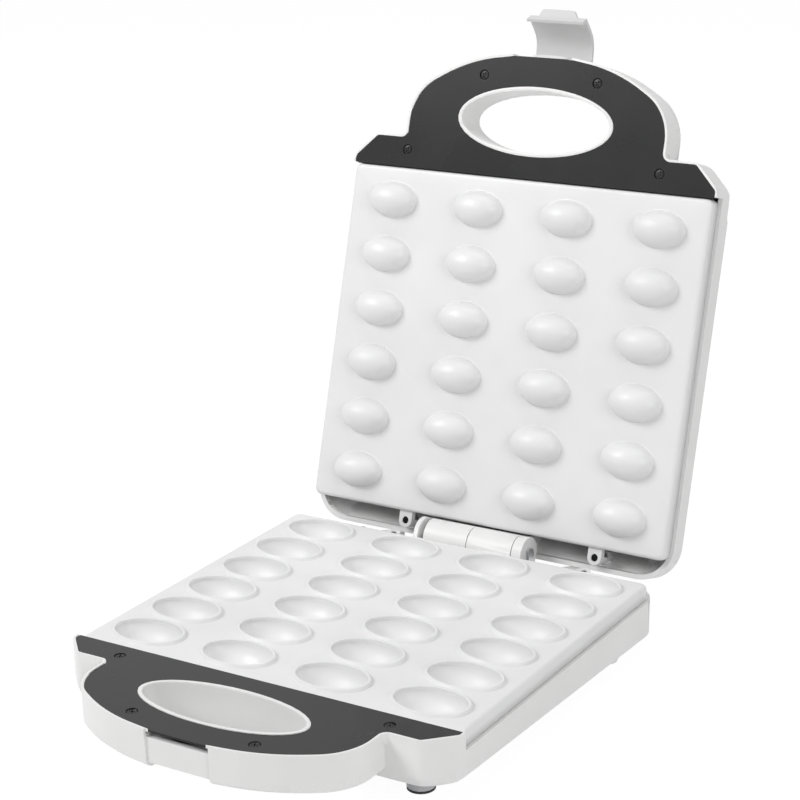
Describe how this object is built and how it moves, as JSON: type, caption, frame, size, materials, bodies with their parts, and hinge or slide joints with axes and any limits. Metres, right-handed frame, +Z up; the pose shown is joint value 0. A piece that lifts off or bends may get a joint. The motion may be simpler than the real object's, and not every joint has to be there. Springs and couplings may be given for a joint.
{
  "type": "nut waffle maker",
  "caption": "Countertop electric mould iron for nut-shaped waffle shells, with a hinged lid, looped grip halves and a swinging front latch, shown open.",
  "frame": {"origin": "centre of the bounding box footprint at rest with the lid open, on the surface it stands on", "axes": "+X to the right seen from the grip side, +Y from the grip to the hinge, +Z up"},
  "size_m": [0.2428, 0.4106, 0.3379],
  "materials": {
    "white_plastic": "satin moulded",
    "charcoal_plastic": "fine moulded satin",
    "grey_plastic": "satin moulded",
    "zinc_steel": "zinc plated",
    "element_sheath": "dull tube",
    "coated_plate": "pale non-stick coating",
    "sheet_aluminium": "mill",
    "ceramic_body": "matte",
    "dark_rubber": "matte",
    "red_lens": "clear tinted",
    "green_lens": "clear tinted"
  },
  "bodies": {
    "base": {"base_housing": "white_plastic", "base_handle_panel": "charcoal_plastic", "lower_plate": "coated_plate", "front_foot_left": "grey_plastic", "front_foot_right": "grey_plastic", "rear_foot_left": "white_plastic", "rear_foot_right": "white_plastic", "lower_heating_element": "element_sheath", "lower_element_clamps": "zinc_steel", "lower_reflector": "sheet_aluminium", "lower_thermostat": "ceramic_body", "terminal_block": "ceramic_body", "cord_gland": "dark_rubber", "hinge_pin": "zinc_steel", "hinge_clip": "zinc_steel", "front_foot_pad_left": "dark_rubber", "front_foot_pad_right": "dark_rubber"},
    "lid": {"lid_housing": "white_plastic", "lid_handle_panel": "charcoal_plastic", "upper_plate": "coated_plate", "upper_heating_element": "element_sheath", "upper_element_clamps": "zinc_steel", "upper_reflector": "sheet_aluminium", "upper_thermostat": "ceramic_body", "thermal_fuse": "ceramic_body", "power_lamp_lens": "red_lens", "ready_lamp_lens": "green_lens", "lamp_holder": "charcoal_plastic", "latch_pin": "zinc_steel"},
    "latch": {"latch": "grey_plastic"}
  },
  "joints": [
    {"name": "lid_hinge", "type": "hinge", "parent": "base", "child": "lid", "pos_m": [0, 0.08501, 0.03815], "axis": [1, 0, 0], "range_deg": [0, 107.4]},
    {"name": "latch_pivot", "type": "hinge", "parent": "lid", "child": "latch", "pos_m": [0, 0.19887, 0.30365], "axis": [1, 0, 0], "range_deg": [0, 55.4]}
  ]
}
